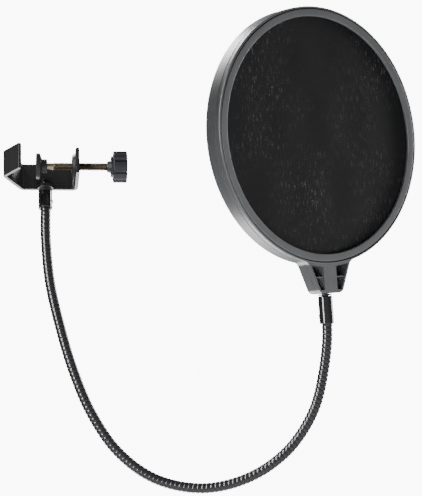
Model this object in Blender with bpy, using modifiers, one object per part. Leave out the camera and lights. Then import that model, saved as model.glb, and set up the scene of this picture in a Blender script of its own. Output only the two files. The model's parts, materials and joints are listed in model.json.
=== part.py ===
# Pop filter: a hoop with two nylon meshes on a gooseneck, held by a stand clamp.
#
# World frame: the stand tube that the clamp grips runs along Z through the
# origin. The clamp screw lies along X with its knob at +X. The clamp opens
# towards -Y, and its gooseneck hangs from the back wall at +Y.
import math

import bmesh
import bpy
from mathutils import Matrix, Vector

mm = 0.001
clearance = 0.3 * mm        # between pieces that touch, fit or turn

# Hoop, by radius from its axis
hoop_radius = 77.5 * mm
hoop_wall = 1.1 * mm
hoop_draft = 0.3 * mm       # the rear edge is this much smaller in radius
hoop_corner = 0.8 * mm
opening_radius = 71.4 * mm
ledge_radius = 72.0 * mm
groove_width = 0.6 * mm     # between the clamping ring and the wall

# Hoop, by height along its axis
hoop_depth = 14.0 * mm
rim_setback = 0.3 * mm
ring_thickness = 1.8 * mm
mesh_thickness = 0.4 * mm
ledge_thickness = 1.05 * mm

# Tongue below the hoop
tongue_length = 17.2 * mm
tongue_root_half = 16.0 * mm    # half width level with the hoop's lowest point
tongue_tip_half = 8.9 * mm
tongue_fillet = 5.0 * mm
tongue_corner = 4.4 * mm
tongue_front = 6.5 * mm         # face heights from the hoop's middle plane
tongue_back = 4.0 * mm
rib_half_width = 5.0 * mm
edge_rib = 1.3 * mm
pocket_top_wall = 1.2 * mm
pocket_bottom_wall = 2.0 * mm
pocket_back_wall = 1.3 * mm
cross_rib = 0.8 * mm
cross_rib_drop = 7.5 * mm       # below the hoop's wall

# Swivel between the tongue and the gooseneck
stem_offset = 0.5 * mm          # of the swivel's axis in front of the middle plane
insert_radius = 3.2 * mm
insert_length = 8.0 * mm
insert_cover = 1.5 * mm
stud_radius = 2.0 * mm
stud_depth = 7.5 * mm
collar_radius = 4.1 * mm
collar_length = 0.8 * mm
shank_radius = 2.2 * mm
shank_length = 4.5 * mm

# Ferrules and set screws
head_ferrule_radius = 4.3 * mm
head_ferrule_length = 16.8 * mm
clamp_ferrule_radius = 4.25 * mm
clamp_ferrule_length = 18.0 * mm
ferrule_chamfer = 0.5 * mm
set_screw_radius = 1.3 * mm
set_screw_height = 4.8 * mm     # above the ferrule's mouth
set_screw_proud = 0.25 * mm
head_set_screw_turn = -138.0    # degrees from the head's side axis
clamp_set_screw_turn = -15.0    # degrees from X

# Gooseneck
neck_radius = 3.15 * mm
neck_grip = 11.0 * mm           # length held inside each ferrule
neck_sections = 10
neck_gap = 0.35 * mm            # between the ball and the socket of two sections
neck_spacing = 7.0 * mm         # between the rings of a section's tube
neck_route = [
    (14.2, 19.2, -19.4), (14.3, 20.9, -40.0), (16.6, 24.6, -66.0),
    (22.3, 29.6, -92.0), (30.2, 36.0, -118.5), (41.3, 43.2, -144.0),
    (57.5, 49.8, -166.5), (80.0, 53.4, -182.3), (108.0, 52.4, -188.4),
    (135.0, 46.6, -183.7), (157.5, 37.8, -170.3), (172.4, 27.0, -150.5),
    (179.0, 16.2, -127.8), (180.9, 4.1, -102.3),
]

# Head direction at the end of the gooseneck
head_up = Vector((-0.070, -0.395, 0.916))
head_face = Vector((0.545, -0.784, -0.297))

# Clamp bracket: a bent strip, as a line down the middle of its thickness
grip_radius = 8.0 * mm          # of the stand tube between jaw and pad
grip_y = -2.1 * mm              # the tube sits this far from the screw's axis
strip_thickness = 2.2 * mm
strip_height = 17.0 * mm
jaw_angle_near = 51.7           # degrees between each jaw arm and X
jaw_angle_far = 57.9
jaw_reach = 11.6 * mm           # of the near arm, along Y
wall_y = 14.7 * mm
ear_x = 32.9 * mm
ear_end_y = -9.1 * mm
jaw_bend = 1.9 * mm
wall_bend = 3.2 * mm
ear_bend = 2.4 * mm
boss_radius = 8.4 * mm
boss_tip_radius = 6.8 * mm
boss_height = 2.0 * mm
lug_radius = 4.9 * mm

# Ferrule screw through the back wall
ferrule_x = 14.2 * mm
ferrule_top = -1.4 * mm
ferrule_screw_radius = 1.25 * mm
ferrule_screw_length = 5.4 * mm
ferrule_screw_head = 2.3 * mm
ferrule_screw_head_height = 1.5 * mm

# Pressure pad, clamp screw and knob, by distance along X
pad_radius = 8.0 * mm
pad_rim = 2.4 * mm
pad_cone = 1.2 * mm
pad_hub = 4.4 * mm
pad_hub_length = 3.1 * mm
pad_floor = 2.3 * mm
screw_neck_radius = 2.0 * mm
screw_neck_length = 8.0 * mm
screw_radius = 2.5 * mm
screw_length = 49.4 * mm
knob_radius = 9.6 * mm
knob_thickness = 8.2 * mm
knob_flutes = 8
flute_radius = 1.5 * mm
flute_centre = 9.9 * mm
knob_collar_radius = 6.4 * mm
knob_collar_length = 1.4 * mm
knob_hub_length = 2.4 * mm
knob_hub_tip = 3.3 * mm
knob_hub_base = 3.9 * mm
knob_cover = 3.1 * mm           # solid end of the knob past the screw

hoop_steps = 64
round_steps = 24


# Heights and distances that follow from the sizes above

half_depth = hoop_depth / 2
wall_inside = hoop_radius - hoop_wall
ring_outside = wall_inside - groove_width
ledge_top = half_depth - ring_thickness - mesh_thickness - 2 * clearance
ledge_bottom = ledge_top - ledge_thickness
tongue_end = hoop_radius + tongue_length
stud_top = -tongue_end + stud_depth
collar_top = -tongue_end - clearance
collar_bottom = collar_top - collar_length
head_ferrule_top = collar_bottom - clearance
head_ferrule_mouth = head_ferrule_top - head_ferrule_length
bore_radius = neck_radius + clearance
wall_outer_y = wall_y + strip_thickness / 2
wall_inner_y = wall_y - strip_thickness / 2
lug_top = strip_thickness - strip_height / 2
ferrule_screw_z = lug_top + clearance + ferrule_screw_head
ferrule_y = neck_route[0][1] * mm
pad_face = grip_radius
pad_back = pad_face + pad_rim + pad_cone + pad_hub_length
screw_start = pad_face + pad_floor + clearance
screw_end = screw_start + screw_length
knob_end = screw_end + knob_cover
knob_start = knob_end - knob_thickness


def start_scene():
    for obj in list(bpy.data.objects):
        bpy.data.objects.remove(obj, do_unlink=True)
    parts = bpy.data.collections.new("pop_filter")
    cutters = bpy.data.collections.new("cutters")
    bpy.context.scene.collection.children.link(parts)
    bpy.context.scene.collection.children.link(cutters)
    return parts, cutters


part_collection, cutter_collection = start_scene()


def new_material(name, colour, roughness, metallic=0.0):
    material = bpy.data.materials.new(name)
    material.use_nodes = True
    shader = material.node_tree.nodes["Principled BSDF"]
    shader.inputs["Base Color"].default_value = (*colour, 1.0)
    shader.inputs["Roughness"].default_value = roughness
    shader.inputs["Metallic"].default_value = metallic
    return material


moulded_black = new_material("moulded_black", (0.022, 0.023, 0.025), 0.5)
satin_black = new_material("satin_black", (0.012, 0.012, 0.013), 0.35)
nylon_black = new_material("nylon_black", (0.008, 0.008, 0.009), 0.7)
gloss_black = new_material("gloss_black", (0.010, 0.010, 0.011), 0.18, 0.6)
neck_black = new_material("neck_black", (0.015, 0.015, 0.017), 0.3, 0.5)
strip_black = new_material("strip_black", (0.020, 0.020, 0.022), 0.45, 0.3)
bright_steel = new_material("bright_steel", (0.55, 0.54, 0.52), 0.25, 1.0)
dark_bronze = new_material("dark_bronze", (0.09, 0.065, 0.05), 0.35, 0.9)
plain_brass = new_material("plain_brass", (0.60, 0.45, 0.20), 0.3, 1.0)


def add_object(name, mesh, frame, collection):
    obj = bpy.data.objects.new(name, mesh)
    obj.matrix_world = frame
    collection.objects.link(obj)
    return obj


def keep_part(obj, material, parent=None):
    obj.data.materials.clear()
    obj.data.materials.append(material)
    obj.data.shade_smooth()
    obj.data.set_sharp_from_angle(angle=math.radians(35))
    if parent:
        placed = obj.matrix_world.copy()
        obj.parent = parent
        obj.matrix_parent_inverse = parent.matrix_world.inverted()
        obj.matrix_world = placed
    return obj


def hide_tool(obj):
    obj.hide_render = True
    obj.display_type = "WIRE"
    return obj


def add_joint(name, position, parent=None):
    empty = bpy.data.objects.new(name, None)
    empty.empty_display_size = 5 * mm
    part_collection.objects.link(empty)
    empty.matrix_world = Matrix.Translation(position)
    if parent:
        empty.parent = parent
        empty.matrix_parent_inverse = parent.matrix_world.inverted()
    bpy.context.view_layer.update()
    return empty


def combine(target, tool, operation):
    modifier = target.modifiers.new(operation.lower(), "BOOLEAN")
    modifier.operation = operation
    modifier.solver = "EXACT"
    modifier.object = hide_tool(tool)


def cut(target, tool):
    combine(target, tool, "DIFFERENCE")


def join(target, tool):
    combine(target, tool, "UNION")


def axis_frame(origin, direction, side=Vector((0, 0, 1))):
    # A frame whose Z runs along the direction and whose X leans to the side.
    z_axis = Vector(direction).normalized()
    y_axis = z_axis.cross(side).normalized()
    x_axis = y_axis.cross(z_axis)
    turn = Matrix((x_axis, y_axis, z_axis)).transposed().to_4x4()
    return Matrix.Translation(origin) @ turn


def turned(name, outline, frame, collection, steps=round_steps, ring=False):
    # The outline holds (radius, height) pairs, outer side from top to bottom.
    mesh = bpy.data.meshes.new(name)
    points = [(radius, 0.0, height) for radius, height in outline]
    edges = [(i, i + 1) for i in range(len(points) - 1)]
    if ring:
        edges.append((len(points) - 1, 0))
    mesh.from_pydata(points, edges, [])
    obj = add_object(name, mesh, frame, collection)
    screw = obj.modifiers.new("turn", "SCREW")
    screw.axis = "Z"
    screw.steps = steps
    screw.render_steps = steps
    screw.use_merge_vertices = True
    screw.merge_threshold = 0.000005
    screw.use_smooth_shade = True
    return obj


def rod(name, radius, bottom, top, frame, collection, steps=round_steps):
    outline = [(0.0, top), (radius, top), (radius, bottom), (0.0, bottom)]
    return turned(name, outline, frame, collection, steps)


def block(name, low, high, frame, collection):
    mesh = bpy.data.meshes.new(name)
    low = Vector(low)
    high = Vector(high)
    size = high - low
    shape = bmesh.new()
    stretch = Matrix.Translation((low + high) / 2) @ Matrix.Diagonal((*size, 1.0))
    bmesh.ops.create_cube(shape, size=1.0, matrix=stretch)
    shape.to_mesh(mesh)
    shape.free()
    return add_object(name, mesh, frame, collection)


def mesh_from_curve(curve_object, collection):
    graph = bpy.context.evaluated_depsgraph_get()
    mesh = bpy.data.meshes.new_from_object(curve_object.evaluated_get(graph))
    shape = bmesh.new()
    shape.from_mesh(mesh)
    bmesh.ops.remove_doubles(shape, verts=shape.verts, dist=0.000005)
    bmesh.ops.recalc_face_normals(shape, faces=shape.faces)
    shape.to_mesh(mesh)
    shape.free()
    name = curve_object.name
    frame = curve_object.matrix_world.copy()
    bpy.data.objects.remove(curve_object, do_unlink=True)
    return add_object(name, mesh, frame, collection)


def plate(name, outline, bottom, top, frame, collection):
    # A flat outline in the frame's XY plane, between two heights.
    curve = bpy.data.curves.new(name, "CURVE")
    curve.dimensions = "2D"
    curve.fill_mode = "BOTH"
    curve.extrude = (top - bottom) / 2
    spline = curve.splines.new("POLY")
    spline.points.add(len(outline) - 1)
    for point, (x, y) in zip(spline.points, outline):
        point.co = (x, y, 0.0, 1.0)
    spline.use_cyclic_u = True
    middle = frame @ Matrix.Translation((0, 0, (top + bottom) / 2))
    obj = bpy.data.objects.new(name, curve)
    obj.matrix_world = middle
    bpy.context.scene.collection.objects.link(obj)
    bpy.context.view_layer.update()
    return mesh_from_curve(obj, collection)


def arc(centre_x, centre_y, radius, start, end, steps):
    points = []
    for i in range(steps + 1):
        angle = start + (end - start) * i / steps
        x = centre_x + radius * math.cos(angle)
        y = centre_y + radius * math.sin(angle)
        points.append((x, y))
    return points


def mirrored(outline):
    return [(-x, y) for x, y in reversed(outline)]


# Gooseneck route

def route_point(points, index, t):
    # Catmull-Rom between points[index] and points[index + 1].
    p0, p1, p2, p3 = points[index - 1:index + 3]
    a = 2 * p1
    b = p2 - p0
    c = 2 * p0 - 5 * p1 + 4 * p2 - p3
    d = 3 * p1 - p0 - 3 * p2 + p3
    return (a + b * t + c * t ** 2 + d * t ** 3) / 2


def neck_line(fineness=40):
    route = [Vector(p) * mm for p in neck_route]
    # The line leaves the clamp straight down and enters the head along its axis.
    before = route[1] + Vector((0, 0, 2)) * (route[1] - route[0]).length
    after = route[-2] + head_axis * 2 * (route[-1] - route[-2]).length
    points = [before] + route + [after]
    line = []
    for index in range(1, len(points) - 2):
        for step in range(fineness):
            line.append(route_point(points, index, step / fineness))
    line.append(route[-1])
    return line


def read_line(line, spots):
    # Points and directions at the given distances along a fine line.
    travelled = [0.0]
    for a, b in zip(line, line[1:]):
        travelled.append(travelled[-1] + (b - a).length)
    found = []
    index = 0
    for spot in spots:
        while index < len(line) - 2 and travelled[index + 1] < spot:
            index += 1
        step = line[index + 1] - line[index]
        share = (spot - travelled[index]) / step.length
        found.append((line[index] + step * share, step.normalized()))
    return found


def line_length(line):
    return sum((b - a).length for a, b in zip(line, line[1:]))


head_axis = head_up.normalized()
head_normal = (head_face - head_axis * head_face.dot(head_axis)).normalized()
head_side = head_axis.cross(head_normal)
neck_end = Vector(neck_route[-1]) * mm
head_centre = neck_end - head_axis * head_ferrule_mouth - head_normal * stem_offset

hoop_turn = Matrix((head_side, head_axis, head_normal)).transposed().to_4x4()
hoop_frame = Matrix.Translation(head_centre) @ hoop_turn
rear_frame = hoop_frame @ Matrix.Rotation(math.pi, 4, "Y")
stem_turn = Matrix((head_side, -head_normal, head_axis)).transposed().to_4x4()
stem_frame = Matrix.Translation(head_centre + head_normal * stem_offset) @ stem_turn
clamp_screw_frame = axis_frame(Vector((0, 0, 0)), Vector((1, 0, 0)))
ferrule_frame = Matrix.Translation((ferrule_x, ferrule_y, 0))


# Hoop and meshes

def front_wall_outline():
    top = half_depth - rim_setback
    corner = arc(hoop_radius - hoop_corner, top - hoop_corner, hoop_corner,
                 math.pi / 2, 0, 2)
    return [(wall_inside, top)] + corner + [
        (hoop_radius, ledge_bottom),
        (ledge_radius, ledge_bottom),
        (ledge_radius, ledge_top),
        (wall_inside, ledge_top),
    ]


def rear_wall_outline():
    # In the rear frame, whose heights run towards the back.
    top = half_depth - rim_setback
    edge = hoop_radius - hoop_draft
    corner = arc(edge - hoop_corner, top - hoop_corner, hoop_corner, math.pi / 2, 0, 2)
    return [(wall_inside, top)] + corner + [
        (hoop_radius, -ledge_bottom + clearance),
        (wall_inside, -ledge_bottom + clearance),
        (wall_inside, ledge_bottom),
        (ledge_radius, ledge_bottom),
        (ledge_radius, ledge_top),
        (wall_inside, ledge_top),
    ]


def side_point(inset, radius):
    # Where the tongue's right side, moved in by the inset, meets a circle
    # around the hoop's axis.
    taper = math.atan((tongue_root_half - tongue_tip_half) / tongue_length)
    across = Vector((math.cos(taper), -math.sin(taper)))
    along = Vector((math.sin(taper), math.cos(taper)))
    edge = across.dot(Vector((tongue_root_half, -hoop_radius))) - inset
    return across * edge - along * math.sqrt(radius ** 2 - edge ** 2), across


def side_at(inset, height):
    low, across = side_point(inset, hoop_radius)
    return Vector((low.x + (height - low.y) * -across.y / across.x, height))


def tongue_outline():
    centre, across = side_point(-tongue_fillet, hoop_radius + tongue_fillet)
    start = math.atan2(-centre.y, -centre.x)
    end = math.atan2(-across.y, -across.x)
    flare = arc(centre.x, centre.y, tongue_fillet, start, end, 4)
    corners = [Vector(flare[-1]), side_at(0, -tongue_end), Vector((0, -tongue_end))]
    half = flare + rounded_path(corners, [tongue_corner], 4)[1:-1]
    root = hoop_radius - hoop_wall / 2
    top_end = math.atan2(flare[0][1], flare[0][0])
    top = arc(0, 0, root, -math.pi - top_end, top_end, 8)
    return top + [tuple(point) for point in half] + mirrored(half)


def pocket_outlines():
    # Two pockets on the right of the middle rib, above and below a cross rib.
    top_radius = hoop_radius + pocket_top_wall
    corner, across = side_point(edge_rib, top_radius)
    start = -math.acos(rib_half_width / top_radius)
    top = arc(0, 0, top_radius, start, math.atan2(corner.y, corner.x), 3)
    cross = -hoop_radius - cross_rib_drop
    upper_end = side_at(edge_rib, cross + cross_rib / 2)
    lower_start = side_at(edge_rib, cross - cross_rib / 2)
    lower_end = side_at(edge_rib, -tongue_end + pocket_bottom_wall)
    upper = top + [tuple(upper_end), (rib_half_width, upper_end.y)]
    lower = [(rib_half_width, lower_start.y), tuple(lower_start), tuple(lower_end),
             (rib_half_width, lower_end.y)]
    return [upper, lower]


def cut_tongue(shell, name):
    floor = pocket_back_wall - tongue_back
    for index, outline in enumerate(pocket_outlines()):
        for side, points in (("right", outline), ("left", mirrored(outline))):
            tool = plate(f"{name}_pocket_{side}_{index}", points, floor, half_depth,
                         hoop_frame, cutter_collection)
            cut(shell, tool)
    low = -tongue_end + insert_cover - clearance
    high = -tongue_end + insert_cover + insert_length + clearance
    cut(shell, rod(f"{name}_insert_seat", insert_radius + clearance, low, high,
                   stem_frame, cutter_collection))
    cut(shell, rod(f"{name}_stud_hole", stud_radius + clearance,
                   -tongue_end - clearance, low + 2 * clearance,
                   stem_frame, cutter_collection))


def make_shell(name, outline, tongue_heights, frame):
    shell = turned(name, outline, frame, part_collection, hoop_steps, ring=True)
    tongue = plate(f"{name}_tongue", tongue_outline(), *tongue_heights, hoop_frame,
                   cutter_collection)
    join(shell, tongue)
    cut_tongue(shell, name)
    return keep_part(shell, moulded_black, head_joint)


def make_clamping_ring(name, frame):
    edge = 0.5 * mm
    outline = [
        (opening_radius + edge, half_depth),
        (ring_outside - edge, half_depth),
        (ring_outside, half_depth - edge),
        (ring_outside, half_depth - ring_thickness),
        (opening_radius, half_depth - ring_thickness),
        (opening_radius, half_depth - edge),
    ]
    ring = turned(name, outline, frame, part_collection, hoop_steps, ring=True)
    return keep_part(ring, moulded_black, head_joint)


def make_mesh_disc(name, frame):
    top = half_depth - ring_thickness - clearance
    disc = rod(name, ring_outside, top - mesh_thickness, top, frame,
               part_collection, hoop_steps)
    return keep_part(disc, nylon_black, head_joint)


def make_spacer():
    height = ledge_bottom - clearance
    outside = wall_inside - clearance
    outline = [(ledge_radius, height), (outside, height),
               (outside, -height), (ledge_radius, -height)]
    ring = turned("spacer_ring", outline, hoop_frame, part_collection, hoop_steps, ring=True)
    return keep_part(ring, satin_black, head_joint)


def make_insert():
    bottom = -tongue_end + insert_cover
    outline = [
        (stud_radius + clearance, bottom + insert_length),
        (insert_radius, bottom + insert_length),
        (insert_radius, bottom),
        (stud_radius + clearance, bottom),
    ]
    insert = turned("threaded_insert", outline, stem_frame, part_collection, ring=True)
    return keep_part(insert, plain_brass, head_joint)


# Ferrules, set screws and the swivel stud

def radial_frame(frame, height, turn):
    turn = math.radians(turn)
    side = Vector((math.cos(turn), math.sin(turn), 0))
    local = axis_frame(Vector((0, 0, height)), side)
    return frame @ local


def set_screw(name, ferrule, ferrule_radius, frame, height, turn, parent):
    place = radial_frame(frame, height, turn)
    cut(ferrule, rod(f"{name}_hole", set_screw_radius + clearance, neck_radius / 2,
                     ferrule_radius + 1 * mm, place, cutter_collection, 16))
    screw = rod(name, set_screw_radius, neck_radius + clearance,
                ferrule_radius + set_screw_proud, place, part_collection, 16)
    return keep_part(screw, satin_black, parent)


def make_head_ferrule(parent):
    web_top = collar_bottom - shank_length - clearance
    web_bottom = head_ferrule_mouth + neck_grip + clearance
    chamfer = ferrule_chamfer
    radius = head_ferrule_radius
    outline = [
        (0.0, web_top),
        (shank_radius + clearance, web_top),
        (shank_radius + clearance, head_ferrule_top),
        (radius - chamfer, head_ferrule_top),
        (radius, head_ferrule_top - chamfer),
        (radius, head_ferrule_mouth + chamfer),
        (radius - chamfer, head_ferrule_mouth),
        (bore_radius, head_ferrule_mouth),
        (bore_radius, web_bottom),
        (0.0, web_bottom),
    ]
    ferrule = turned("head_ferrule", outline, stem_frame, part_collection)
    set_screw("head_set_screw", ferrule, radius, stem_frame,
              head_ferrule_mouth + set_screw_height, -head_set_screw_turn, parent)
    return keep_part(ferrule, gloss_black, parent)


def make_stud(parent):
    outline = [
        (0.0, stud_top),
        (stud_radius, stud_top),
        (stud_radius, collar_top),
        (collar_radius, collar_top),
        (collar_radius, collar_bottom),
        (shank_radius, collar_bottom),
        (shank_radius, collar_bottom - shank_length),
        (0.0, collar_bottom - shank_length),
    ]
    stud = turned("swivel_stud", outline, stem_frame, part_collection)
    return keep_part(stud, satin_black, parent)


def make_clamp_ferrule():
    mouth = neck_route[0][2] * mm
    top = ferrule_top
    radius = clamp_ferrule_radius
    bore_top = mouth + neck_grip + clearance
    outline = [
        (0.0, top),
        (radius - ferrule_chamfer, top),
        (radius, top - ferrule_chamfer),
        (radius, mouth + ferrule_chamfer),
        (radius - ferrule_chamfer, mouth),
        (bore_radius, mouth),
        (bore_radius, bore_top),
        (0.0, bore_top),
    ]
    ferrule = turned("clamp_ferrule", outline, ferrule_frame, part_collection)
    flat = wall_outer_y + clearance - ferrule_y
    under_wall = -strip_height / 2 - clearance
    cut(ferrule, block("ferrule_flat", (-radius * 2, -radius * 2, under_wall),
                       (radius * 2, flat, top + 1 * mm), ferrule_frame, cutter_collection))
    place = screw_through_wall_frame()
    tip = -wall_inner_y + clearance - ferrule_screw_length - strip_thickness - clearance
    cut(ferrule, rod("ferrule_screw_hole", ferrule_screw_radius + clearance,
                     tip, -wall_inner_y, place, cutter_collection, 16))
    set_screw("clamp_set_screw", ferrule, radius, ferrule_frame,
              mouth + set_screw_height, clamp_set_screw_turn, None)
    return keep_part(ferrule, gloss_black)


def screw_through_wall_frame():
    # Its Z runs from the wall towards the open side of the clamp, -Y.
    return axis_frame(Vector((ferrule_x, 0, ferrule_screw_z)), Vector((0, -1, 0)))


def make_ferrule_screw():
    place = screw_through_wall_frame()
    head_bottom = -wall_inner_y + clearance
    head_top = head_bottom + ferrule_screw_head_height
    tip = head_bottom - ferrule_screw_length - strip_thickness
    outline = [
        (0.0, head_top),
        (ferrule_screw_head * 0.6, head_top),
        (ferrule_screw_head, head_bottom + ferrule_screw_head_height / 2),
        (ferrule_screw_head, head_bottom),
        (ferrule_screw_radius, head_bottom),
        (ferrule_screw_radius, tip),
        (0.0, tip),
    ]
    screw = turned("ferrule_screw", outline, place, part_collection, 20)
    slot = ferrule_screw_radius / 4
    reach = ferrule_screw_head * 0.6
    depth = head_top - ferrule_screw_head_height / 2
    for name, x, y in (("long", reach, slot), ("cross", slot, reach)):
        cut(screw, block(f"ferrule_screw_{name}_slot", (-x, -y, depth),
                         (x, y, head_top + 1 * mm), place, cutter_collection))
    return keep_part(screw, bright_steel)


# Gooseneck sections

def neck_section(number, line, start, end, parent):
    # A tube between two joints, with a ball at its far end and a socket at its
    # near end. The first and last sections end inside the ferrules instead.
    first = number == 1
    last = number == neck_sections
    steps = max(2, round((end - start) / neck_spacing))
    spots = [start + (end - start) * i / steps for i in range(steps + 1)]
    points = [(point, 1.0) for point, direction in read_line(line, spots)]
    last_point, last_direction = read_line(line, [end])[0]
    if last:
        points.append((last_point + head_axis * neck_grip, 1.0))
    else:
        for angle in (25, 50, 70, 84):
            reach = neck_radius * math.sin(math.radians(angle))
            taper = math.cos(math.radians(angle))
            points.append((last_point + last_direction * reach, taper))
    if first:
        points.insert(0, (points[0][0] + Vector((0, 0, neck_grip)), 1.0))
    name = f"gooseneck_section_{number:02d}"
    curve = bpy.data.curves.new(name, "CURVE")
    curve.dimensions = "3D"
    curve.bevel_depth = neck_radius
    curve.bevel_resolution = 4
    curve.use_fill_caps = True
    spline = curve.splines.new("POLY")
    spline.points.add(len(points) - 1)
    for target, (point, radius) in zip(spline.points, points):
        target.co = (*point, 1.0)
        target.radius = radius
    obj = bpy.data.objects.new(name, curve)
    bpy.context.scene.collection.objects.link(obj)
    bpy.context.view_layer.update()
    section = mesh_from_curve(obj, part_collection)
    if not first:
        ball = bpy.data.meshes.new(f"{name}_socket")
        shape = bmesh.new()
        bmesh.ops.create_uvsphere(shape, u_segments=16, v_segments=10,
                                  radius=neck_radius + neck_gap)
        shape.to_mesh(ball)
        shape.free()
        frame = axis_frame(points[0][0], read_line(line, [start])[0][1])
        cut(section, add_object(f"{name}_socket", ball, frame, cutter_collection))
    return keep_part(section, neck_black, parent)


def make_neck():
    line = neck_line()
    length = line_length(line)
    pitch = length / neck_sections
    parent = None
    for number in range(1, neck_sections + 1):
        start = pitch * (number - 1)
        if number > 1:
            centre = read_line(line, [start])[0][0]
            kind = "bend" if number % 2 == 0 else "sway"
            parent = add_joint(f"joint_{kind}_{number - 1}", centre, parent)
        neck_section(number, line, start, pitch * number, parent)
    return parent


# Clamp bracket

def rounded_path(corners, radii, steps=5):
    # The ends stay, and every corner between them becomes an arc.
    path = [corners[0]]
    for index in range(1, len(corners) - 1):
        before = (corners[index - 1] - corners[index]).normalized()
        after = (corners[index + 1] - corners[index]).normalized()
        radius = radii[index - 1]
        half = before.angle(after) / 2
        centre = corners[index] + (before + after).normalized() * radius / math.sin(half)
        start = corners[index] + before * radius / math.tan(half) - centre
        end = corners[index] + after * radius / math.tan(half) - centre
        sweep = start.angle_signed(end)
        for step in range(steps + 1):
            turn = Matrix.Rotation(-sweep * step / steps, 2)
            path.append(centre + turn @ start)
    path.append(corners[-1])
    return path


def strip_corners():
    # The jaw's arms both touch the gripped tube.
    near = math.radians(jaw_angle_near)
    far = math.radians(jaw_angle_far)
    reach = grip_radius + strip_thickness / 2
    grip = Vector((0, grip_y))
    near_normal = grip + Vector((-math.sin(near), -math.cos(near))) * reach
    far_normal = grip + Vector((-math.sin(far), math.cos(far))) * reach
    near_line = Vector((math.cos(near), -math.sin(near)))
    far_line = Vector((math.cos(far), math.sin(far)))
    across = near_line.cross(far_line)
    step = (far_normal - near_normal).cross(far_line) / across
    apex = near_normal + near_line * step
    tip = apex + near_line * (jaw_reach / math.sin(near))
    knee = far_normal + far_line * ((wall_y - far_normal.y) / far_line.y)
    return [tip, apex, knee, Vector((ear_x, wall_y)), Vector((ear_x, ear_end_y))]


def make_bracket():
    path = rounded_path(strip_corners(), [jaw_bend, wall_bend, ear_bend])
    mesh = bpy.data.meshes.new("clamp_bracket")
    half = strip_height / 2
    points = [(p.x, p.y, -half) for p in path] + [(p.x, p.y, half) for p in path]
    count = len(path)
    faces = [(i, i + 1, count + i + 1, count + i) for i in range(count - 1)]
    mesh.from_pydata(points, [], faces)
    bracket = add_object("clamp_bracket", mesh, Matrix.Identity(4), part_collection)
    thicken = bracket.modifiers.new("thickness", "SOLIDIFY")
    thicken.thickness = strip_thickness
    thicken.offset = 0.0
    thicken.use_even_offset = True
    ear_inside = ear_x - strip_thickness / 2
    ear_outside = ear_x + strip_thickness / 2
    boss = [(0.0, ear_x), (boss_radius, ear_x), (boss_radius, ear_inside),
            (boss_tip_radius, ear_inside - boss_height), (0.0, ear_inside - boss_height)]
    join(bracket, turned("thread_boss", boss, clamp_screw_frame, cutter_collection))
    lug = arc(ferrule_x, wall_inner_y, lug_radius, -math.pi, 0, 12)
    lug += [(ferrule_x + lug_radius, wall_y), (ferrule_x - lug_radius, wall_y)]
    join(bracket, plate("ferrule_lug", lug, -half, lug_top,
                        Matrix.Identity(4), cutter_collection))
    cut(bracket, rod("thread_hole", screw_radius + clearance,
                     ear_inside - boss_height - 1 * mm, ear_outside + 1 * mm,
                     clamp_screw_frame, cutter_collection))
    cut(bracket, rod("wall_screw_hole", ferrule_screw_radius + clearance,
                     -wall_outer_y - 1 * mm, -wall_inner_y + 1 * mm,
                     screw_through_wall_frame(), cutter_collection, 16))
    return keep_part(bracket, strip_black)


# Pressure pad, clamp screw and knob, turned about X

def make_pad(parent):
    floor = pad_face + pad_floor
    bore = screw_neck_radius + clearance
    outline = [
        (0.0, floor),
        (bore, floor),
        (bore, pad_back),
        (pad_hub, pad_back),
        (pad_hub, pad_back - pad_hub_length),
        (pad_radius, pad_face + pad_rim),
        (pad_radius, pad_face),
        (0.0, pad_face),
    ]
    pad = turned("pressure_pad", outline, clamp_screw_frame, part_collection, 32)
    return keep_part(pad, strip_black, parent)


def make_clamp_screw(parent):
    shoulder = screw_start + screw_neck_length
    step = screw_radius - screw_neck_radius
    outline = [
        (0.0, screw_end),
        (screw_radius, screw_end),
        (screw_radius, shoulder),
        (screw_neck_radius, shoulder - step),
        (screw_neck_radius, screw_start),
        (0.0, screw_start),
    ]
    screw = turned("clamp_screw", outline, clamp_screw_frame, part_collection)
    return keep_part(screw, dark_bronze, parent)


def knob_outline():
    # Lobes on the knob's radius, with a round flute between each two.
    reach = knob_radius ** 2 + flute_centre ** 2 - flute_radius ** 2
    half = math.acos(reach / (2 * knob_radius * flute_centre))
    span = math.atan2(knob_radius * math.sin(half),
                      flute_centre - knob_radius * math.cos(half))
    pitch = 2 * math.pi / knob_flutes
    outline = []
    for index in range(knob_flutes):
        middle = index * pitch
        outline += arc(0, 0, knob_radius, middle - pitch + half, middle - half, 3)
        flute = arc(flute_centre * math.cos(middle), flute_centre * math.sin(middle),
                    flute_radius, middle + math.pi + span, middle + math.pi - span, 5)
        outline += flute[1:-1]
    return outline


def make_knob(parent):
    knob = plate("knob", knob_outline(), knob_start, knob_end,
                 clamp_screw_frame, part_collection)
    collar_start = knob_start - knob_collar_length
    hub_start = collar_start - knob_hub_length
    inside = knob_start + 1 * mm
    outline = [
        (0.0, inside),
        (knob_collar_radius, inside),
        (knob_collar_radius, collar_start),
        (knob_hub_base, collar_start),
        (knob_hub_tip, hub_start),
        (0.0, hub_start),
    ]
    join(knob, turned("knob_hub", outline, clamp_screw_frame, cutter_collection))
    cut(knob, rod("knob_bore", screw_radius + clearance, hub_start - 1 * mm,
                  screw_end + clearance, clamp_screw_frame, cutter_collection))
    return keep_part(knob, satin_black, parent)


# The whole object

neck_tip = make_neck()
make_head_ferrule(neck_tip)
make_stud(neck_tip)
head_joint = add_joint("joint_head_swivel", head_centre, neck_tip)
make_shell("front_shell", front_wall_outline(), (ledge_bottom, tongue_front), hoop_frame)
make_shell("rear_shell", rear_wall_outline(),
           (-tongue_back, ledge_bottom - clearance), rear_frame)
make_clamping_ring("front_ring", hoop_frame)
make_clamping_ring("rear_ring", rear_frame)
make_mesh_disc("front_mesh", hoop_frame)
make_mesh_disc("rear_mesh", rear_frame)
make_spacer()
make_insert()

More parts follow.
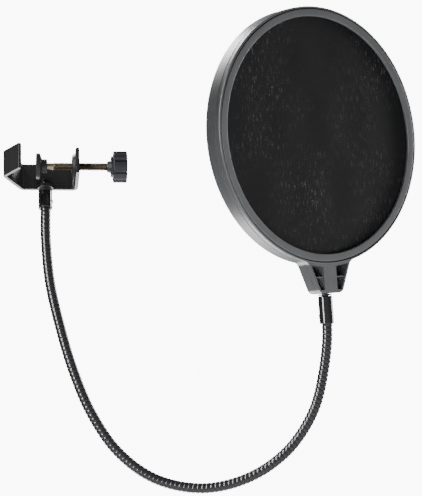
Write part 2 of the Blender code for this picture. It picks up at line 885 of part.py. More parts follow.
make_bracket()
make_clamp_ferrule()
make_ferrule_screw()
pad_joint = add_joint("joint_pad_slide", Vector((pad_face, 0, 0)))
spindle_joint = add_joint("joint_screw_turn", Vector((screw_end, 0, 0)), pad_joint)
make_pad(pad_joint)
make_clamp_screw(spindle_joint)
make_knob(spindle_joint)
bpy.context.view_layer.update()
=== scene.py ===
import json
import math

import bpy
import numpy as np
from mathutils import Matrix, Vector


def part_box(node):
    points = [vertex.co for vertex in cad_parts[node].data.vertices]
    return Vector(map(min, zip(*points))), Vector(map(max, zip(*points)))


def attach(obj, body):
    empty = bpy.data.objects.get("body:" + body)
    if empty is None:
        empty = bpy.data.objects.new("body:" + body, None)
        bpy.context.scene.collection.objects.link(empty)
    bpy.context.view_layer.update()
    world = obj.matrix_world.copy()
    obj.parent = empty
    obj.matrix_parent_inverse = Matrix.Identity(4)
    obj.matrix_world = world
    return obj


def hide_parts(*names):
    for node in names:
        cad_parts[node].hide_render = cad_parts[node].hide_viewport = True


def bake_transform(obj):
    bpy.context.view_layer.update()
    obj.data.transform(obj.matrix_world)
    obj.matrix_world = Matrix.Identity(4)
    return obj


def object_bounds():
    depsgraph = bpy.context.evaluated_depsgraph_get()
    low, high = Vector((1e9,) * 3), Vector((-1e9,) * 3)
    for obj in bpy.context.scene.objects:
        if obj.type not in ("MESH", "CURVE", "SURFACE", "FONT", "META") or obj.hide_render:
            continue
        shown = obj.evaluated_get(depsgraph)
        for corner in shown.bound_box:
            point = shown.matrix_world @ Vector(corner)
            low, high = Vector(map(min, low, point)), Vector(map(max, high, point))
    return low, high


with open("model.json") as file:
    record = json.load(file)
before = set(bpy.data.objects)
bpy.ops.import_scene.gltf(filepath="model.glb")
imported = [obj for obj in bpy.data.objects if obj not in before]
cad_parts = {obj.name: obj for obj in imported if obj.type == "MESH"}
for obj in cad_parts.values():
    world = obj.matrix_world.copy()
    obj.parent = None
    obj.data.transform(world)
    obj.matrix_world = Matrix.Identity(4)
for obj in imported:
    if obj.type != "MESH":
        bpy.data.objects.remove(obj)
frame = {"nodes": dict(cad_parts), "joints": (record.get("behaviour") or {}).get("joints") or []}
cadLow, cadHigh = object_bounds()
mm = 0.001
turnSteps = 192  # faces round a turned piece
mergeGap = 0.000002  # metres; points nearer than this become one
flatAngle = 0.6  # degrees; CAD faces flatter than this are joined
joints = {joint["name"]: joint for joint in frame["joints"]}
print("frame loaded")


# picking and shaping with operators
def selectOnly(piece):
    if bpy.context.object and bpy.context.object.mode != "OBJECT":
        bpy.ops.object.mode_set(mode="OBJECT")
    bpy.ops.object.select_all(action="DESELECT")
    piece.select_set(True)
    bpy.context.view_layer.objects.active = piece


def startPoint(name, point):
    # a single vertex in edit mode, ready to be extruded
    bpy.ops.object.select_all(action="DESELECT")
    bpy.ops.mesh.primitive_plane_add(size=0.001)
    piece = bpy.context.object
    piece.name = name
    bpy.ops.object.mode_set(mode="EDIT")
    bpy.ops.mesh.select_all(action="SELECT")
    bpy.ops.mesh.merge(type="CENTER")
    bpy.ops.transform.translate(value=point)
    return piece


def drawOutline(name, points):
    # extrudes one vertex along the points and closes them with a face
    piece = startPoint(name, points[0])
    for before, after in zip(points, points[1:]):
        step = [b - a for a, b in zip(before, after)]
        bpy.ops.mesh.extrude_vertices_move(TRANSFORM_OT_translate={"value": step})
    bpy.ops.mesh.select_all(action="SELECT")
    bpy.ops.mesh.edge_face_add()
    return piece


def closeUp(piece):
    bpy.ops.mesh.select_all(action="SELECT")
    bpy.ops.mesh.remove_doubles(threshold=mergeGap)
    bpy.ops.mesh.normals_make_consistent(inside=False)
    bpy.ops.object.mode_set(mode="OBJECT")
    return piece


def turnedPiece(name, outline):
    # the outline is a closed loop of (radius, height) points
    piece = drawOutline(name, [(r, 0, z) for r, z in outline])
    bpy.ops.mesh.delete(type="ONLY_FACE")
    bpy.ops.mesh.select_all(action="SELECT")
    bpy.ops.mesh.spin(steps=turnSteps, angle=2 * math.pi, center=(0, 0, 0), axis=(0, 0, 1))
    return closeUp(piece)


def platePiece(name, outline, low, high):
    piece = drawOutline(name, [(x, y, low) for x, y in outline])
    bpy.ops.mesh.extrude_region_move(TRANSFORM_OT_translate={"value": (0, 0, high - low)})
    return closeUp(piece)


def useModifier(piece, kind, **settings):
    selectOnly(piece)
    modifier = piece.modifiers.new(kind.lower(), kind)
    for key, value in settings.items():
        setattr(modifier, key, value)
    bpy.ops.object.modifier_apply(modifier=modifier.name)


def combine(piece, tool, operation):
    useModifier(piece, "BOOLEAN", operation=operation, object=tool, solver="EXACT")
    bpy.data.objects.remove(tool, do_unlink=True)


def softenEdges(piece, width, segments=2, angle=28):
    useModifier(piece, "BEVEL", width=width, segments=segments, limit_method="ANGLE",
                angle_limit=math.radians(angle), harden_normals=False)


def smoothPiece(piece, angle=32):
    # flat faces keep their own shading right up to the worn edges
    selectOnly(piece)
    bpy.ops.object.shade_smooth_by_angle(angle=math.radians(angle))
    useModifier(piece, "WEIGHTED_NORMAL", keep_sharp=True, weight=60)


def placePiece(piece, matrix):
    piece.matrix_world = matrix
    selectOnly(piece)
    bpy.ops.object.transform_apply(location=True, rotation=True, scale=True)


def finishPiece(piece, material, body, slot, *nodes):
    piece.data.materials.clear()
    piece.data.materials.append(material)
    if body:
        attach(piece, body)
    if nodes:
        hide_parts(*nodes)
    return piece


def refinedCopy(name, node, width):
    # a CAD node's own shape, merged, cleaned and given worn edges
    source = frame["nodes"][node]
    piece = bpy.data.objects.new(name, source.data.copy())
    bpy.context.scene.collection.objects.link(piece)
    selectOnly(piece)
    bpy.ops.object.mode_set(mode="EDIT")
    bpy.ops.mesh.select_all(action="SELECT")
    bpy.ops.mesh.remove_doubles(threshold=mergeGap)
    bpy.ops.mesh.dissolve_limited(angle_limit=math.radians(flatAngle))
    bpy.ops.object.mode_set(mode="OBJECT")
    softenEdges(piece, width)
    smoothPiece(piece)
    return piece


def arcPoints(x, y, radius, start, end, steps):
    angles = [math.radians(start + (end - start) * i / steps) for i in range(steps + 1)]
    return [(x + radius * math.cos(a), y + radius * math.sin(a)) for a in angles]


# shader maths
class Wire:
    # one output socket, with arithmetic that adds Math nodes
    def __init__(self, tree, socket):
        self.tree = tree
        self.socket = socket

    def join(self, other, operation, swapped=False):
        values = (other, self) if swapped else (self, other)
        return addNode(self.tree, "ShaderNodeMath", {"operation": operation},
                       dict(enumerate(values)))

    def __add__(self, other):
        return self.join(other, "ADD")

    def __radd__(self, other):
        return self.join(other, "ADD", True)

    def __sub__(self, other):
        return self.join(other, "SUBTRACT")

    def __rsub__(self, other):
        return self.join(other, "SUBTRACT", True)

    def __mul__(self, other):
        return self.join(other, "MULTIPLY")

    def __rmul__(self, other):
        return self.join(other, "MULTIPLY", True)


def addNode(tree, kind, settings=None, sockets=None, output=0):
    # settings first, then a value or a link for each socket, by its name or number
    node = tree.nodes.new(kind)
    for key, value in (settings or {}).items():
        if key == "stops":
            for stop, (position, shade) in zip(node.color_ramp.elements, value):
                stop.position = position
                stop.color = (shade, shade, shade, 1)
        else:
            setattr(node, key, value)
    for key, value in (sockets or {}).items():
        if isinstance(value, Wire):
            tree.links.new(value.socket, node.inputs[key])
        else:
            node.inputs[key].default_value = value
    return Wire(tree, node.outputs[output])


class Finish:
    # a material with one Principled shader
    def __init__(self, name, **fixed):
        self.material = bpy.data.materials.new(name)
        self.material.use_nodes = True
        self.tree = self.material.node_tree
        self.shader = self.tree.nodes["Principled BSDF"]
        for key, value in fixed.items():
            self.shader.inputs[key.replace("_", " ")].default_value = value

    def add(self, kind, settings=None, output=0, **sockets):
        named = {key.replace("_", " "): value for key, value in sockets.items()}
        return addNode(self.tree, kind, settings, named, output)

    def objectSpace(self, scale):
        where = self.add("ShaderNodeTexCoord", output=3)
        return self.add("ShaderNodeMapping", Vector=where, Scale=scale)

    def sheetSpace(self, scale):
        where = self.add("ShaderNodeUVMap", {"uv_map": "weave"})
        return self.add("ShaderNodeMapping", Vector=where, Scale=scale)

    def noise(self, where, scale, detail=3.0, roughness=0.55):
        return self.add("ShaderNodeTexNoise", Vector=where, Scale=scale, Detail=detail,
                        Roughness=roughness)

    def ramp(self, factor, low, high):
        return self.add("ShaderNodeValToRGB", {"stops": [(low, 0.0), (high, 1.0)]}, Fac=factor)

    def blendColours(self, factor, dark, light):
        # by number: 0 is the factor, 6 and 7 are the colours
        return addNode(self.tree, "ShaderNodeMix", {"data_type": "RGBA"},
                       {0: factor, 6: (*dark, 1), 7: (*light, 1)}, 2)

    def feed(self, name, wire):
        self.tree.links.new(wire.socket, self.shader.inputs[name])

    def bump(self, height, strength, distance):
        self.feed("Normal", self.add("ShaderNodeBump", Height=height, Strength=strength,
                                     Distance=distance))


grainLook = {"patchSize": 40, "patchShare": 0.6, "fineShare": 0.4, "from": 0.35, "to": 0.65,
             "relief": 0.5}


def grainFinish(name, dark, light, rough, grain, depth, **fixed):
    # a surface with fine grain, soft patches of tone and uneven gloss
    finish = Finish(name, **fixed)
    space = finish.objectSpace((1, 1, 1))
    fine = finish.noise(space, grain, 2.0)
    broad = finish.noise(space, grain / grainLook["patchSize"], 3.0)
    mixed = broad * grainLook["patchShare"] + fine * grainLook["fineShare"]
    tone = finish.ramp(mixed, grainLook["from"], grainLook["to"])
    finish.feed("Base Color", finish.blendColours(tone, dark, light))
    finish.feed("Roughness", broad * rough[1] + fine * rough[2] + rough[0])
    finish.bump(fine, grainLook["relief"], depth)
    return finish.material


mouldedBlack = grainFinish("mouldedBlack", (0.066, 0.068, 0.071), (0.078, 0.08, 0.083),
                           (0.27, 0.08, 0.06), 2600, 0.00002)
# painted shade: a darker, duller copy of the moulded black, for the spacer ring that sits inside the
# hoop between the shells
shadedMouldedBlack = grainFinish("shadedMouldedBlack", (0.02, 0.02, 0.021), (0.03, 0.03, 0.031),
                         (0.5, 0.08, 0.08), 2600, 0.00003)
bracketBlack = grainFinish("bracketBlack", (0.008, 0.008, 0.0085), (0.013, 0.013, 0.0135),
                           (0.3, 0.08, 0.06), 1800, 0.000012)
ferruleBlack = grainFinish("ferruleBlack", (0.006, 0.006, 0.007), (0.010, 0.010, 0.011),
                           (0.1, 0.06, 0.04), 900, 0.000001, Coat_Weight=0.5)
neckBlack = grainFinish("neckBlack", (0.010, 0.010, 0.012), (0.018, 0.017, 0.02),
                        (0.2, 0.08, 0.06), 1500, 0.000004, Coat_Weight=0.3)
knobBlack = grainFinish("knobBlack", (0.012, 0.0125, 0.015), (0.02, 0.021, 0.024),
                        (0.26, 0.1, 0.08), 2200, 0.00001)
fastenerBlack = grainFinish("fastenerBlack", (0.01, 0.01, 0.011), (0.02, 0.02, 0.021),
                            (0.24, 0.1, 0.08), 1500, 0.00002)
threadDark = grainFinish("threadDark", (0.075, 0.06, 0.042), (0.1, 0.08, 0.056),
                         (0.3, 0.08, 0.08), 900, 0.000004, Metallic=0.9)
brightSteel = grainFinish("brightSteel", (0.5, 0.44, 0.32), (0.62, 0.56, 0.42),
                          (0.16, 0.1, 0.08), 700, 0.00001, Metallic=1.0)
insertBrass = grainFinish("insertBrass", (0.5, 0.36, 0.14), (0.66, 0.5, 0.24),
                          (0.2, 0.1, 0.08), 700, 0.00001, Metallic=1.0)


nylon = {
    "streakScale": 1100, "streakLength": 0.16, "streakShare": 0.62,
    "knitScale": 1500, "knitLength": 0.75, "knitShare": 0.38,
    "patchScale": 24, "patchFrom": 0.4, "patchTo": 0.66, "glintFrom": 0.55, "glintTo": 0.8,
    # dark is the knit's own colour; light is a painted highlight, the colour of the glints painted
    # into the base colour
    "dark": (0.0048, 0.0048, 0.0054), "light": (0.12, 0.12, 0.125),
    "rough": 0.72, "glintGloss": 0.2, "threadScale": 380.0, "threadWander": 1.4,
    "threadShare": 0.4, "knitRelief": 0.6, "relief": 0.5, "depth": 0.00012,
}


def nylonFinish():
    # a fine knit with painted glints: short streaks of a lighter colour, painted into the base
    # colour, that come and go in patches
    finish = Finish("nylonBlack", Specular_IOR_Level=0.25)
    streaks = finish.noise(finish.sheetSpace((1, nylon["streakLength"], 1)),
                           nylon["streakScale"], 2.0, 0.5)
    knit = finish.noise(finish.sheetSpace((1, nylon["knitLength"], 1)),
                        nylon["knitScale"], 1.0, 0.4)
    patches = finish.noise(finish.sheetSpace((1, 1, 1)), nylon["patchScale"], 2.0, 0.5)
    mixed = streaks * nylon["streakShare"] + knit * nylon["knitShare"]
    glint = finish.ramp(mixed, nylon["glintFrom"], nylon["glintTo"])
    # painted highlight: where the glint and patch masks meet, the base colour turns to the light
    # glint colour
    paintedGlintAmount = glint * finish.ramp(patches, nylon["patchFrom"], nylon["patchTo"])
    finish.feed("Base Color", finish.blendColours(paintedGlintAmount, nylon["dark"], nylon["light"]))
    finish.feed("Roughness", nylon["rough"] - glint * nylon["glintGloss"])
    threads = finish.add("ShaderNodeTexWave", {"wave_type": "BANDS", "bands_direction": "X"},
                         Vector=finish.sheetSpace((1, 1, 1)), Scale=nylon["threadScale"],
                         Distortion=nylon["threadWander"], Detail=1.0)
    height = threads * nylon["threadShare"] + knit * nylon["knitRelief"]
    finish.bump(height, nylon["relief"], nylon["depth"])
    return finish.material


nylonBlack = nylonFinish()
print("finishes made")


# where the head is
frontLow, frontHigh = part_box("front_ring")
rearLow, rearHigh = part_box("rear_ring")
frontMiddle = (frontLow + frontHigh) / 2
rearMiddle = (rearLow + rearHigh) / 2
hoopCentre = (frontMiddle + rearMiddle) / 2
hoopFacing = (frontMiddle - rearMiddle).normalized()
hoopUp = Vector(joints["head_swivel"]["axis"]).normalized()
hoopUp = (hoopUp - hoopFacing * hoopUp.dot(hoopFacing)).normalized()
hoopSide = hoopUp.cross(hoopFacing)
hoopTurn = Matrix((hoopSide, hoopUp, hoopFacing)).transposed().to_4x4()
hoopPlace = Matrix.Translation(hoopCentre) @ hoopTurn
hoopBack = hoopPlace @ Matrix.Rotation(math.pi, 4, "Y")


# the hoop's two shells, with the tongue
hoop = {
    "radius": 77.5 * mm, "wallInside": 76.4 * mm, "draft": 0.3 * mm,
    "rim": 6.7 * mm, "ledgeRadius": 72.0 * mm, "ledgeTop": 4.2 * mm,
    "parting": 3.15 * mm, "gap": 0.3 * mm, "corner": 0.8 * mm,
    "rimEdge": 0.15 * mm, "edge": 0.2 * mm,
}
tongue = {
    "length": 17.2 * mm, "rootHalf": 16.0 * mm, "tipHalf": 8.9 * mm,
    "fillet": 5.0 * mm, "corner": 4.4 * mm, "front": 6.5 * mm, "back": -4.0 * mm,
    "ribHalf": 5.0 * mm, "edgeRib": 1.3 * mm, "topWall": 1.2 * mm,
    "bottomWall": 2.0 * mm, "pocketFloor": -2.7 * mm, "crossRib": 0.8 * mm,
    "crossDrop": 7.5 * mm, "crossSetback": 0.9 * mm, "edge": 0.28 * mm,
    "pocketTop": 10 * mm, "crossInner": 1 * mm, "crossOuter": 0.6 * mm, "crossSink": 0.2 * mm,
}
tongueEnd = hoop["radius"] + tongue["length"]


def sidePoint(inset, radius):
    # where the tongue's slanted side meets a circle about the hoop's axis
    taper = math.atan((tongue["rootHalf"] - tongue["tipHalf"]) / tongue["length"])
    across = Vector((math.cos(taper), -math.sin(taper)))
    along = Vector((math.sin(taper), math.cos(taper)))
    edge = across.dot(Vector((tongue["rootHalf"], -hoop["radius"]))) - inset
    return across * edge - along * math.sqrt(radius ** 2 - edge ** 2), across


def sideAt(inset, height):
    low, across = sidePoint(inset, hoop["radius"])
    return (low.x - (height - low.y) * across.y / across.x, height)


def mirrored(points):
    return [(-x, y) for x, y in reversed(points)]


def tongueOutline():
    centre, across = sidePoint(-tongue["fillet"], hoop["radius"] + tongue["fillet"])
    start = math.degrees(math.atan2(-centre.y, -centre.x))
    end = math.degrees(math.atan2(-across.y, -across.x))
    flare = arcPoints(centre.x, centre.y, tongue["fillet"], start, end, 10)
    root = (hoop["radius"] + hoop["wallInside"]) / 2
    top = math.degrees(math.atan2(flare[0][1], flare[0][0]))
    crown = arcPoints(0, 0, root, -180 - top, top, 40)
    tipX, tipY = sideAt(0, -tongueEnd)
    tilt = math.degrees(math.atan2(-across.y, across.x))
    corner = tongue["corner"]
    back = corner * math.tan(math.radians(90 - tilt) / 2)
    roundTip = arcPoints(tipX - back, tipY + corner, corner, -tilt, -90, 6)
    return crown + flare + roundTip + mirrored(flare + roundTip)


def pocketTools():
    topRadius = hoop["radius"] + tongue["topWall"]
    corner, across = sidePoint(tongue["edgeRib"], topRadius)
    start = -math.degrees(math.acos(tongue["ribHalf"] / topRadius))
    end = math.degrees(math.atan2(corner.y, corner.x))
    low = sideAt(tongue["edgeRib"], -tongueEnd + tongue["bottomWall"])
    whole = arcPoints(0, 0, topRadius, start, end, 6) + [low, (tongue["ribHalf"], low[1])]
    for outline in (whole, mirrored(whole)):
        yield platePiece("pocket", outline, tongue["pocketFloor"], tongue["pocketTop"])


def crossRibs(low, high):
    middle = -hoop["radius"] - tongue["crossDrop"]
    for sign in (-1, 1):
        inner = sign * (tongue["ribHalf"] - tongue["crossInner"])
        outer = sign * (sideAt(tongue["edgeRib"], middle)[0] + tongue["crossOuter"])
        half = tongue["crossRib"] / 2
        points = [(inner, middle - half), (outer, middle - half),
                  (outer, middle + half), (inner, middle + half)]
        yield platePiece("crossRib", points, low, high)


def makeShell(name, outline, low, high, node, facingBack=False):
    shell = turnedPiece(name, outline)
    if facingBack:
        shell.matrix_world = Matrix.Rotation(math.pi, 4, "Y")
        selectOnly(shell)
        bpy.ops.object.transform_apply(rotation=True)
    plate = platePiece("tonguePlate", tongueOutline(), low, high)
    for tool in pocketTools():
        combine(plate, tool, "DIFFERENCE")
    ribLow = max(low, tongue["pocketFloor"] - tongue["crossSink"])
    for rib in crossRibs(ribLow, high - tongue["crossSetback"]):
        combine(plate, rib, "UNION")
    softenEdges(plate, tongue["edge"], 2, 40)
    combine(shell, plate, "UNION")
    smoothPiece(shell, 35)
    placePiece(shell, hoopPlace)
    return finishPiece(shell, mouldedBlack, "head", "moulded_black", node)


def wallOutline(radius, wallTop, wallBottom, ledgeFrom, ledgeTo, foot):
    # an L in section: the outer wall with its rounded rim, and the ledge inside
    corner = hoop["corner"]
    inside = hoop["wallInside"]
    edge = hoop["edge"]
    rim = [(inside, wallTop - hoop["rimEdge"]), (inside + hoop["rimEdge"], wallTop)]
    rim += arcPoints(radius - corner, wallTop - corner, corner, 90, 0, 5)
    outer = [(foot, wallBottom + edge), (foot - edge, wallBottom)]
    if ledgeFrom > wallBottom:
        outer.append((inside, wallBottom))
        outer.append((inside, ledgeFrom))
    ledge = hoop["ledgeRadius"]
    return rim + outer + [(ledge + edge, ledgeFrom), (ledge, ledgeFrom + edge),
                          (ledge, ledgeTo - edge), (ledge + edge, ledgeTo), (inside, ledgeTo)]


frontOutline = wallOutline(hoop["radius"], hoop["rim"], hoop["parting"],
                           hoop["parting"], hoop["ledgeTop"], hoop["radius"])
rearOutline = wallOutline(hoop["radius"] - hoop["draft"], hoop["rim"],
                          hoop["gap"] - hoop["parting"], hoop["parting"],
                          hoop["ledgeTop"], hoop["radius"])
makeShell("frontShell", frontOutline, hoop["parting"], tongue["front"], "front_shell")
makeShell("rearShell", rearOutline, tongue["back"], hoop["parting"] - hoop["gap"],
          "rear_shell", facingBack=True)
print("hoop shells made")


# the clamping rings and the two stretched meshes
ring = {"inside": 71.4 * mm, "outside": 75.8 * mm, "face": 7.0 * mm, "back": 5.2 * mm,
        "edge": 0.45 * mm, "crown": 0.12 * mm}
sheet = {"radius": 75.8 * mm, "height": 4.7 * mm, "rings": 26, "spokes": 144,
         "sag": 0.12 * mm, "ripple": (190, 70), "uvShift": 0.1}


def ringOutline():
    edge = ring["edge"]
    face = ring["face"] - ring["crown"]
    middle = (ring["inside"] + ring["outside"]) / 2
    points = arcPoints(ring["inside"] + edge, face - edge, edge, 180, 90, 4)
    points.append((middle, ring["face"]))
    points += arcPoints(ring["outside"] - edge, face - edge, edge, 90, 0, 4)
    points += [(ring["outside"], ring["back"]), (ring["inside"], ring["back"])]
    return points


def makeSheet(name):
    bpy.ops.object.select_all(action="DESELECT")
    bpy.ops.mesh.primitive_circle_add(vertices=sheet["spokes"], radius=sheet["radius"])
    piece = bpy.context.object
    piece.name = name
    bpy.ops.object.mode_set(mode="EDIT")
    bpy.ops.mesh.select_all(action="SELECT")
    for turn in range(sheet["rings"] - 1, 0, -1):
        bpy.ops.mesh.extrude_edges_move()
        share = turn / (turn + 1)
        bpy.ops.transform.resize(value=(share, share, 1))
    bpy.ops.mesh.edge_face_add()
    bpy.ops.mesh.poke()
    closeUp(piece)
    weave = piece.data.uv_layers.new(name="weave")
    for loop in piece.data.loops:
        point = piece.data.vertices[loop.vertex_index].co
        weave.data[loop.index].uv = (point.x + sheet["uvShift"], point.y + sheet["uvShift"])
    across, down = sheet["ripple"]
    for vertex in piece.data.vertices:
        reach = vertex.co.xy.length / sheet["radius"]
        wave = math.sin(vertex.co.x * across) * math.sin(vertex.co.y * down + 1)
        pull = wave * (1 - reach ** 4)
        vertex.co.z = sheet["height"] + sheet["sag"] * pull
    return piece


for name, place, ringNode, sheetNode in (
        ("front", hoopPlace, "front_ring", "front_mesh"),
        ("rear", hoopBack, "rear_ring", "rear_mesh")):
    clampRing = turnedPiece(name + "Ring", ringOutline())
    smoothPiece(clampRing, 40)
    placePiece(clampRing, place)
    finishPiece(clampRing, mouldedBlack, "head", "moulded_black", ringNode)
    nylon = makeSheet(name + "Mesh")
    smoothPiece(nylon, 60)
    placePiece(nylon, place)
    finishPiece(nylon, nylonBlack, "head", "nylon_mesh", sheetNode)
    width = 2 * sheet["radius"]
print("rings and meshes made")


# gooseneck, wound along the route of the CAD tube
neck = {
    "radius": 3.15 * mm, "pitch": 2.7 * mm, "groove": 0.32 * mm, "around": 28,
    "perTurn": 12, "tuck": 6 * mm, "bend": 12 * mm, "sections": 10,
    "curveSteps": 80, "tuckSteps": 20, "squareness": 3.5,
    "route": [
        (14.2, 19.2, -19.4), (14.3, 20.9, -40.0), (16.6, 24.6, -66.0),
        (22.3, 29.6, -92.0), (30.2, 36.0, -118.5), (41.3, 43.2, -144.0),
        (57.5, 49.8, -166.5), (80.0, 53.4, -182.3), (108.0, 52.4, -188.4),
        (135.0, 46.6, -183.7), (157.5, 37.8, -170.3), (172.4, 27.0, -150.5),
        (179.0, 16.2, -127.8), (180.9, 4.1, -102.3)],
}


def neckLine():
    # the same smooth curve as the CAD tube
    route = [Vector(point) * mm for point in neck["route"]]
    before = route[1] + Vector((0, 0, 2)) * (route[1] - route[0]).length
    after = route[-2] + hoopUp * 2 * (route[-1] - route[-2]).length
    points = [before] + route + [after]
    line = []
    for p0, p1, p2, p3 in zip(points, points[1:], points[2:], points[3:]):
        for step in range(neck["curveSteps"]):
            t = step / neck["curveSteps"]
            line.append((2 * p1 + (p2 - p0) * t + (2 * p0 - 5 * p1 + 4 * p2 - p3) * t ** 2
                         + (3 * p1 - p0 - 3 * p2 + p3) * t ** 3) / 2)
    line.append(route[-1])
    return line


def routeFrames(line, tuck):
    # the line and its straight tucks: distance, place, heading and a side that never twists
    count = neck["tuckSteps"]
    full = [line[0] + Vector((0, 0, tuck * (1 - i / count))) for i in range(count)] + line
    full += [line[-1] + hoopUp * tuck * (i + 1) / count for i in range(count)]
    heads = [(b - a).normalized() for a, b in zip(full, full[1:])]
    heads.append(heads[-1])
    sides = [Vector((1, 0, 0))]
    for ahead in heads[1:]:
        side = sides[-1] - ahead * sides[-1].dot(ahead)
        sides.append(side.normalized())
    reach = [-tuck]
    for a, b in zip(full, full[1:]):
        reach.append(reach[-1] + (b - a).length)
    return np.array(reach), np.array(full), np.array(heads), np.array(sides)


def wrapSkin(name, start, end, frames, around, step, radiusAt):
    # a flat grid rolled round the route; radiusAt gives the radius at (reach, turn)
    rows = max(2, round((end - start) / step))
    bpy.ops.object.select_all(action="DESELECT")
    bpy.ops.mesh.primitive_grid_add(x_subdivisions=rows, y_subdivisions=around, size=1)
    piece = bpy.context.object
    piece.name = name
    flat = np.array([vertex.co for vertex in piece.data.vertices])
    reach = start + (flat[:, 0] + 0.5) * (end - start)
    turn = flat[:, 1] + 0.5
    spots, full, heads, sides = frames
    middle, ahead, side = [np.stack([np.interp(reach, spots, table[:, i]) for i in range(3)], 1)
                           for table in (full, heads, sides)]
    ahead /= np.linalg.norm(ahead, axis=1)[:, None]
    side -= ahead * (side * ahead).sum(1)[:, None]
    side /= np.linalg.norm(side, axis=1)[:, None]
    over = np.cross(ahead, side)
    angle = 2 * np.pi * turn
    radius = radiusAt(reach, turn)[:, None]
    skin = middle + radius * (side * np.cos(angle)[:, None] + over * np.sin(angle)[:, None])
    piece.data.vertices.foreach_set("co", skin.ravel())
    piece.data.update()
    selectOnly(piece)
    bpy.ops.object.mode_set(mode="EDIT")
    bpy.ops.mesh.select_all(action="SELECT")
    bpy.ops.mesh.remove_doubles(threshold=2 * mergeGap)
    bpy.ops.mesh.select_all(action="DESELECT")
    bpy.ops.mesh.select_mode(type="EDGE")
    bpy.ops.mesh.select_non_manifold()
    bpy.ops.mesh.fill_holes(sides=0)
    return closeUp(piece)


def woundRadius(reach, turn):
    # a wide rounded wire wound round the core, with a groove between its turns
    phase = np.mod(reach / neck["pitch"] + turn, 1.0)
    crown = 1 - np.abs(2 * phase - 1) ** neck["squareness"]
    return neck["radius"] - neck["groove"] * (1 - crown)


neckFrames = routeFrames(neckLine(), neck["tuck"])
neckLength = neckFrames[0][-1] - neck["tuck"]
sectionLength = neckLength / neck["sections"]
neckStep = neck["pitch"] / neck["perTurn"]


def alongNeck(reach):
    return Vector([float(np.interp(reach, neckFrames[0], neckFrames[1][:, i])) for i in range(3)])


def makeNeck():
    for number in range(neck["sections"] + 1):
        start = sectionLength * (number - 0.5) if number else -neck["tuck"]
        end = sectionLength * (number + 0.5)
        last = number == neck["sections"]
        if last:
            end = neckLength + neck["tuck"]
        piece = wrapSkin(f"gooseneck_{number:02d}", start, end, neckFrames, neck["around"],
                         neckStep, woundRadius)
        smoothPiece(piece, 50)
        if number == 0:
            finishPiece(piece, neckBlack, "bracket", "neck_black", "gooseneck_section_01")
        elif last:
            finishPiece(piece, neckBlack, "neck_10", "neck_black")
        else:
            finishPiece(piece, neckBlack, None, "neck_black",
                        f"gooseneck_section_{number + 1:02d}")
            middle = sectionLength * number
            alongNeck(middle - neck["bend"])
            alongNeck(middle + neck["bend"])
            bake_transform(piece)


makeNeck()
print("gooseneck wound")


# clamp: bracket, pad, screw and knob
screw = {"neckRadius": 2.0 * mm, "radius": 2.5 * mm, "neckLength": 8.0 * mm,
         "pitch": 0.8 * mm, "depth": 0.42 * mm, "perTurn": 8, "around": 28,
         "shoulder": 0.6 * mm, "steepness": 1.25, "neckAround": 36, "neckStep": 0.5 * mm}


def makeClampScrew():
    low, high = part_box("clamp_screw")
    start, end = low.x, high.x
    spots = np.array([start, end])
    full = np.array([(start, 0, 0), (end, 0, 0)])
    heads = np.array([(1.0, 0, 0), (1.0, 0, 0)])
    sides = np.array([(0, 1.0, 0), (0, 1.0, 0)])
    frames = (spots, full, heads, sides)
    threadStart = start + screw["neckLength"]

    def threadRadius(reach, turn):
        phase = np.mod((reach - threadStart) / screw["pitch"] - turn, 1.0)
        tooth = np.clip(np.abs(2 * phase - 1) * screw["steepness"], 0, 1)
        fade = np.clip((reach - threadStart) / screw["shoulder"], 0, 1)
        return screw["neckRadius"] + fade * (screw["radius"] - screw["neckRadius"]
                                             - screw["depth"] * tooth)

    plain = wrapSkin("screwNeck", start, threadStart, frames, screw["neckAround"],
                     screw["neckStep"], lambda reach, turn: np.full_like(reach, screw["neckRadius"]))
    smoothPiece(plain, 40)
    finishPiece(plain, brightSteel, "spindle", "screw_steel")
    step = screw["pitch"] / screw["perTurn"]
    rod = wrapSkin("clampScrew", threadStart, end, frames, screw["around"], step, threadRadius)
    smoothPiece(rod, 50)
    finishPiece(rod, threadDark, "spindle", "thread_dark", "clamp_screw")


makeClampScrew()

smallPieces = [
    # piece, CAD node, worn edge, finish, body, slot
    ("clampBracket", "clamp_bracket", 0.3, bracketBlack, "bracket", "bracket_black"),
    ("clampFerrule", "clamp_ferrule", 0.12, ferruleBlack, "bracket", "ferrule_black"),
    ("clampSetScrew", "clamp_set_screw", 0.1, fastenerBlack, "bracket", "fastener_black"),
    ("ferruleScrew", "ferrule_screw", 0.08, fastenerBlack, "bracket", "fastener_black"),
    ("pressurePad", "pressure_pad", 0.25, bracketBlack, "pad", "bracket_black"),
    ("knob", "knob", 0.3, knobBlack, "spindle", "knob_black"),
    ("headFerrule", "head_ferrule", 0.12, ferruleBlack, "neck_10", "ferrule_black"),
    ("headSetScrew", "head_set_screw", 0.1, fastenerBlack, "neck_10", "fastener_black"),
    ("swivelStud", "swivel_stud", 0.15, fastenerBlack, "neck_10", "fastener_black"),
    ("threadedInsert", "threaded_insert", 0.1, insertBrass, "head", "insert_brass"),
    # painted shade: the spacer ring gets the darker copy of the moulded black
    ("spacerRing", "spacer_ring", 0.15, shadedMouldedBlack, "head", "moulded_black"),
]
for name, node, width, finish, body, slot in smallPieces:
    finishPiece(refinedCopy(name, node, width * mm), finish, body, slot, node)
print("clamp and fittings made")


# floor, light and camera
floorPlan = {"size": 9, "height": -1.1}


def makeFloor():
    bpy.ops.object.select_all(action="DESELECT")
    bpy.ops.mesh.primitive_plane_add(size=floorPlan["size"], location=(0, 0, floorPlan["height"]))
    floor = bpy.context.object
    floor.name = "floor"
    paint = Finish("paleFloor", Roughness=0.8)
    tone = paint.noise(paint.objectSpace((1, 1, 1)), 3.0)
    paint.feed("Base Color", paint.blendColours(tone, (0.84, 0.84, 0.84), (0.88, 0.88, 0.88)))
    floor.data.materials.append(paint.material)


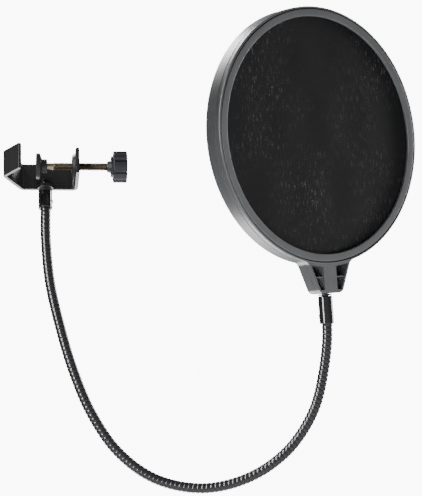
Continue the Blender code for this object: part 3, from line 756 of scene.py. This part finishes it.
def addLight(name, direction, distance, size, power, shiny=True, matte=True):
    # a soft box facing the object; the strips only make highlights and the fills make none
    middle = (cadLow + cadHigh) / 2
    data = bpy.data.lights.new(name, "AREA")
    data.shape = "RECTANGLE"
    data.size, data.size_y = size
    data.energy = power
    lamp = bpy.data.objects.new(name, data)
    bpy.context.scene.collection.objects.link(lamp)
    away = Vector(direction).normalized()
    lamp.location = middle + away * distance
    lamp.rotation_euler = away.to_track_quat("Z", "Y").to_euler()
    lamp.visible_glossy = shiny
    lamp.visible_diffuse = matte


def makeWorld(shown, lit):
    # the backdrop shows white, and lights the object less than it shows
    world = bpy.data.worlds.new("studio")
    bpy.context.scene.world = world
    world.use_nodes = True
    sky = world.node_tree
    backdrop = sky.nodes["Background"]
    backdrop.inputs["Color"].default_value = (1, 1, 1, 1)
    seen = addNode(sky, "ShaderNodeLightPath")  # its first output is the camera's own rays
    strength = addNode(sky, "ShaderNodeMix", sockets={0: seen, 2: lit, 3: shown})
    sky.links.new(strength.socket, backdrop.inputs["Strength"])


camera = {"place": (-0.03758, -1.36093, -0.70741), "lens": 182.98, "sensor": 36,
          "azimuth": 6.3, "elevation": 25.5, "roll": -2.4, "clip": 60}


def makeCamera():
    phi, rise, roll = [math.radians(camera[key]) for key in ("azimuth", "elevation", "roll")]
    ahead = Vector((math.sin(phi) * math.cos(rise), math.cos(phi) * math.cos(rise),
                    math.sin(rise)))
    right = Vector((math.cos(phi), -math.sin(phi), 0))
    up = right.cross(ahead)
    turnedRight = right * math.cos(roll) + up * math.sin(roll)
    turnedUp = up * math.cos(roll) - right * math.sin(roll)
    data = bpy.data.cameras.new("camera")
    data.lens = camera["lens"]
    data.sensor_width = camera["sensor"]
    data.clip_end = camera["clip"]
    viewer = bpy.data.objects.new("camera", data)
    bpy.context.scene.collection.objects.link(viewer)
    turn = Matrix((turnedRight, turnedUp, -ahead)).transposed().to_4x4()
    viewer.matrix_world = Matrix.Translation(camera["place"]) @ turn
    bpy.context.scene.camera = viewer


makeFloor()
makeWorld(shown=10, lit=0.16)
addLight("backStrip", (-0.15, 0.86, -0.4), 1.1, (0.95, 0.25), 13, matte=False)
addLight("leftStrip", (-0.78, -0.58, 0.14), 1.1, (0.3, 1.3), 38, matte=False)
addLight("topStrip", (-0.36, 0.43, 0.83), 1.1, (0.25, 0.35), 9, matte=False)
addLight("rimStrip", (0.9, 0.31, 0.3), 1.1, (0.2, 0.6), 9, matte=False)
addLight("lowFill", (0.12, -0.38, -0.92), 0.9, (0.6, 0.5), 18, shiny=False)
addLight("skyFill", (0.0, 0.05, 1.0), 1.6, (2.4, 2.4), 70, shiny=False)
makeCamera()
print("stage set")
